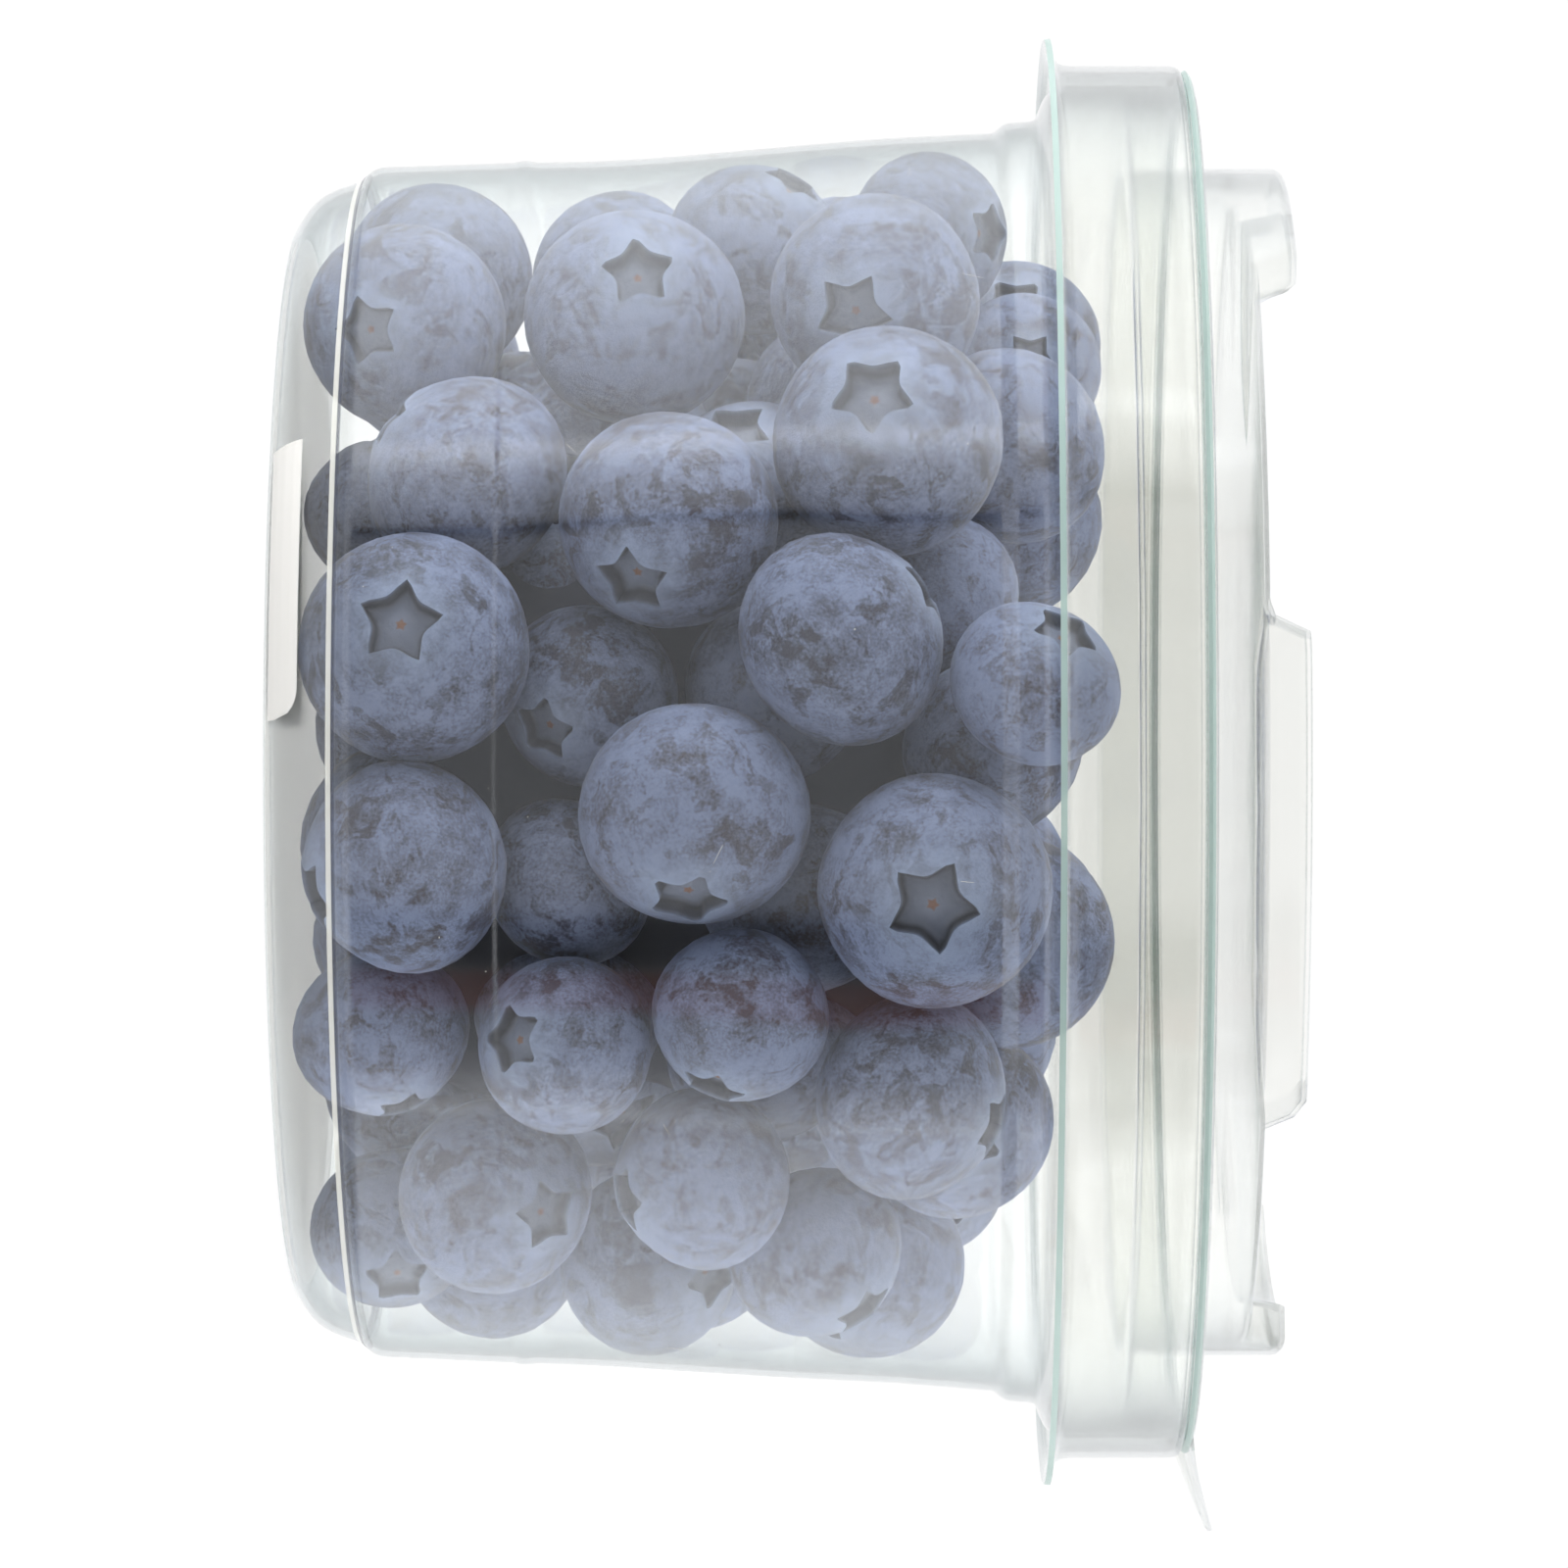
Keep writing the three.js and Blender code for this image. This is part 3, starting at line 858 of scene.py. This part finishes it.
# A ball as a bmesh, with each vertex's ring from the crown and its angle round it
def ballRows():
    ball = bmesh.new()
    rings = len(crownRings) + skinRings
    bmesh.ops.create_uvsphere(ball, u_segments=fruit["around"], v_segments=rings + 1, radius=1)
    bmesh.ops.recalc_face_normals(ball, faces=ball.faces)
    layer = ball.verts.layers.float_color.new("marks")
    rows = []
    for vert in ball.verts:
        way = vert.co.normalized()
        ring = round(math.acos(max(-1, min(1, way.z))) / math.pi * (rings + 1))
        rows.append((vert, ring, math.atan2(way.y, way.x)))
    return ball, layer, rows


# The ball's rings near the crown follow its star, with a lip round a sunken floor
def shapeBerry(rows, layer, berry, number):
    rings = len(crownRings) + skinRings
    flat = draw(*fruit["flatness"])
    tip = draw(*fruit["starTip"])
    depth = draw(*fruit["depth"])
    turned = draw(0, 2 * math.pi)
    tone = draw()
    lipHeight = draw(0.5, 1)
    shift = Vector((number * 3.7, number * 1.3, 0))
    facing = Vector(berry.crown).normalized().to_track_quat("Z", "Y").to_matrix()
    scale = berry.radius * 0.985
    for vert, ring, around in rows:
        floor = lip = 0
        if ring == 0:
            out, rise, floor = 0, -0.8, 2
        elif ring <= len(crownRings):
            share, rise, floor, lip = crownRings[ring - 1]
            star = starReach(around, tip, turned)
            spread = between(share, 1.0, 1.5)
            out = min(share, 1.0) * star + max(0, share - 1.0) * tip
            out = out * (1 - spread) + tip * share * spread
        else:
            step = (ring - len(crownRings)) / (rings + 1 - len(crownRings))
            start = math.asin(tip * 1.4)
            polar = start + (math.pi - start) * step
            out, rise = math.sin(polar), 0
        height = math.sqrt(max(0, 1 - out * out)) if ring <= len(crownRings) else math.cos(polar)
        # The stem end, opposite the crown, takes floor mark 0.5 and so the same dark colour as the crown's
        # wall
        if ring == rings + 1:
            height, floor = -0.93, 0.5
        elif ring == rings:
            floor = 0.15
        level = rise * depth * (1 if rise < 0 else lipHeight)
        place = Vector((math.cos(around) * out, math.sin(around) * out, height * flat + level))
        swell = 1 + fruit["lumps"] * noise.noise(place * 1.1 + shift)
        vert.co = (facing @ (place * swell * scale) + Vector(berry.place)) * mm
        vert[layer] = (floor, lip, tone, 1)


skin = {
    "bare": ((0.04, 0.043, 0.07), (0.066, 0.06, 0.082)),
    "waxed": ((0.157, 0.194, 0.334), (0.232, 0.28, 0.43)),
    "lip": (0.27, 0.33, 0.48),
    "ground": ((0.135, 0.158, 0.225), (0.2, 0.225, 0.31)),
    # painted shade for the crown's sunken wall
    "shade": (0.03, 0.027, 0.027),
    "rust": (0.2, 0.1, 0.065),
    # scale, detail, roughness and distortion of each cloud
    "patches": (190.0, 3.0, 0.55),
    "blotches": (560.0, 4.0, 0.7),
    "grain": (3600.0, 1.0, 0.75),
    "rubbed": (300.0, 3.0, 0.62, 0.9),
    # how waxy the skin is on the whole, and how far each cloud and the berry's own tone change it
    "bloomLevel": 0.74,
    "bloomShares": (1.7, 1.9, 1.3, 0.3),
    "rubbedRange": (0.51, 0.6),
    "rubbedShare": 0.5,
}


def berrySkin():
    material = bpy.data.materials.new("berrySkin")
    shader = Shader(material)
    place = shader.place()
    marks = shader.node("ShaderNodeAttribute", {"attribute_name": "marks"}, out="Color")
    split = shader.node("ShaderNodeSeparateColor", None, marks)
    floor, lip, tone = split, shader.other(split, "Green"), shader.other(split, "Blue")
    patches, blotches, grain, rubbed = (
        shader.cloud(place, *skin[cloud]) for cloud in ("patches", "blotches", "grain", "rubbed")
    )
    bloom = skin["bloomLevel"]
    for wire, share in zip((patches, blotches, grain, tone), skin["bloomShares"]):
        bloom = bloom + (wire - 0.5) * share
    bloom = (bloom - shader.step(rubbed, *skin["rubbedRange"]) * skin["rubbedShare"]).most(0.0).least(1.0)
    bare = shader.mix(tone, *skin["bare"])
    waxed = shader.mix(blotches, *skin["waxed"])
    face = shader.mix(bloom, bare, waxed)
    lipped = shader.mix((lip * (0.2 + blotches * 0.9)).least(1.0), face, skin["lip"])
    ground = shader.mix((blotches + grain) * 0.5, *skin["ground"])
    tinted = shader.mix((floor * 2.0).least(1.0), lipped, ground)
    # Painted shade: the crown's sunken wall (floor mark near 0.5) is darkened towards the shade colour
    wall = (floor * 2.0).least(2.0 - floor * 2.0).most(0.0)
    tinted = shader.mix(wall * 0.85, tinted, skin["shade"])
    tinted = shader.mix(shader.step(floor, 1.35, 1.65), tinted, skin["rust"])
    bump = shader.node(
        "ShaderNodeBump", None, Strength=0.4, Distance=0.0001, Height=grain,
    )
    shader.output("ShaderNodeOutputMaterial", shader.node(
        "ShaderNodeBsdfPrincipled", None, Base_Color=tinted, Roughness=0.45 + bloom * 0.25, Normal=bump,
        Sheen_Weight=0.12, Sheen_Roughness=0.4, Sheen_Tint=(0.75, 0.82, 1.0, 1.0),
    ))
    return material


# A dark core that stands for the fruit too deep to be seen; its near-black colour is painted shade for the
# depths of the heap
core = {
    "radius": 28,
    "bottom": 9,
    "top": 51,
    "corner": 7,
    # near black: painted shade for the fruit deep in the heap
    "colour": (0.02, 0.022, 0.034),
}


def hiddenInCore(berry):
    out = math.hypot(berry.place[0], berry.place[1]) + berry.radius
    low, high = berry.place[2] - berry.radius, berry.place[2] + berry.radius
    return out < core["radius"] - 1 and low > core["bottom"] + 1 and high < core["top"] - 1


def makeCore():
    material = bpy.data.materials.new("deepShade")
    shader = Shader(material)
    paler = tuple(v * 1.6 for v in core["colour"])
    tone = shader.mix(shader.cloud(shader.place(), 300.0), core["colour"], paler)
    shader.output("ShaderNodeOutputMaterial", shader.node(
        "ShaderNodeBsdfPrincipled", None, Base_Color=tone, Roughness=0.8,
    ))
    bm = bmesh.new()
    radius, depth = core["radius"] * mm, (core["top"] - core["bottom"]) * mm
    middle = Matrix.Translation((0, 0, (core["top"] + core["bottom"]) / 2 * mm))
    bmesh.ops.create_cone(
        bm, cap_ends=True, segments=48, radius1=radius, radius2=radius, depth=depth, matrix=middle,
    )
    rims = [edge for edge in bm.edges if abs(edge.verts[0].co.z - edge.verts[1].co.z) < mm]
    bmesh.ops.bevel(
        bm, geom=rims, offset=core["corner"] * mm, affect="EDGES", segments=5, profile=0.5, material=-1,
    )
    piece = finished("heapShadeCore", bm, [material])
    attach(piece, "root")
    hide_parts("berries")


def makeBerries():
    settled = settledBerries()
    berries = [berry for berry in settled if not hiddenInCore(berry)]
    print("settled", len(settled), "shown", len(berries))
    ball, layer, rows = ballRows()
    one = bpy.data.meshes.new("one")
    bm = bmesh.new()
    for number, berry in enumerate(berries):
        shapeBerry(rows, layer, berry, number)
        ball.to_mesh(one)
        bm.from_mesh(one)
    ball.free()
    bpy.data.meshes.remove(one)
    piece = finished("blueberries", bm, [berrySkin()], 80)
    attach(piece, "root")
    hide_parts("berries")


# Dust on the outer wall, and a few short fibres

dust = {
    "specks": 110,
    "speckRadius": (0.035, 0.09),
    "fibres": 16,
    "fibreRadius": 0.022,
    "fibreLength": (0.5, 2.0),
    "turns": (-180, 180),
    "heights": (8, 57),
    "colour": (0.75, 0.75, 0.73),
}


def wallRadius(height):
    corners = [(radius, z) for radius, z, reach in tub["section"] if 6 <= z <= 58]
    for (lowRadius, low), (highRadius, high) in zip(corners, corners[1:]):
        if low <= height <= high:
            share = (height - low) / (high - low)
            return lowRadius + (highRadius - lowRadius) * share + tub["sheet"] / 2
    return corners[-1][0]


def makeDust():
    bm = bmesh.new()
    for number in range(dust["specks"] + dust["fibres"]):
        turn, height = math.radians(draw(*dust["turns"])), draw(*dust["heights"])
        size, lean, squash = draw(), draw(0, math.pi), draw(0.4, 1)
        out = (wallRadius(height) + 0.02) * mm
        spot = Matrix.Translation((math.sin(turn) * out, -math.cos(turn) * out, height * mm))
        facing = Matrix.Rotation(turn, 4, "Z") @ Matrix.Rotation(lean, 4, "Y")
        if number < dust["specks"]:
            low, high = dust["speckRadius"]
            radius = (low + (high - low) * size ** 3) * mm
            shape = Matrix.Diagonal((1, 0.5, squash, 1))
            bmesh.ops.create_icosphere(bm, subdivisions=1, radius=radius, matrix=spot @ facing @ shape)
        else:
            low, high = dust["fibreLength"]
            radius = dust["fibreRadius"] * mm
            bmesh.ops.create_cone(
                bm, cap_ends=True, segments=6, radius1=radius, radius2=radius * 0.6,
                depth=(low + (high - low) * size) * mm, matrix=spot @ facing,
            )
    material = bpy.data.materials.new("dust")
    shader = Shader(material)
    tone = shader.mix(shader.cloud(shader.place(), 2000.0, 1.0), dust["colour"], (0.6, 0.58, 0.52))
    shader.output("ShaderNodeOutputMaterial", shader.node(
        "ShaderNodeBsdfPrincipled", None, Base_Color=tone, Roughness=0.8,
    ))
    piece = finished("dust", bm, [material])
    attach(piece, "root")


bpy.context.scene.view_settings.view_transform = "Standard"
cycles = bpy.context.scene.cycles
cycles.max_bounces, cycles.diffuse_bounces, cycles.glossy_bounces = 4, 1, 3
cycles.transparent_max_bounces = 32
cycles.adaptive_threshold = 0.25

makeCamera()
makeLight()
makeLamps()
makeTable()
print("camera, light and floor")
sheet = clearSheet("clearSheet", plastic["mirror"], plastic["clear"], plastic["slanted"])
rim = clearSheet("rimSheet", plastic["rimMirror"], plastic["rimClear"], plastic["rimSlanted"])
edge = tintedSheet("cutEdge", plastic["edge"], 0.85)
makeTub(sheet, rim, edge)
print("tub")
makeLid(rim, edge)
print("lid")
dressLabel()
makeLabelEnd()
makeCore()
makeBerries()
print("fruit")
makeDust()
print("dust")
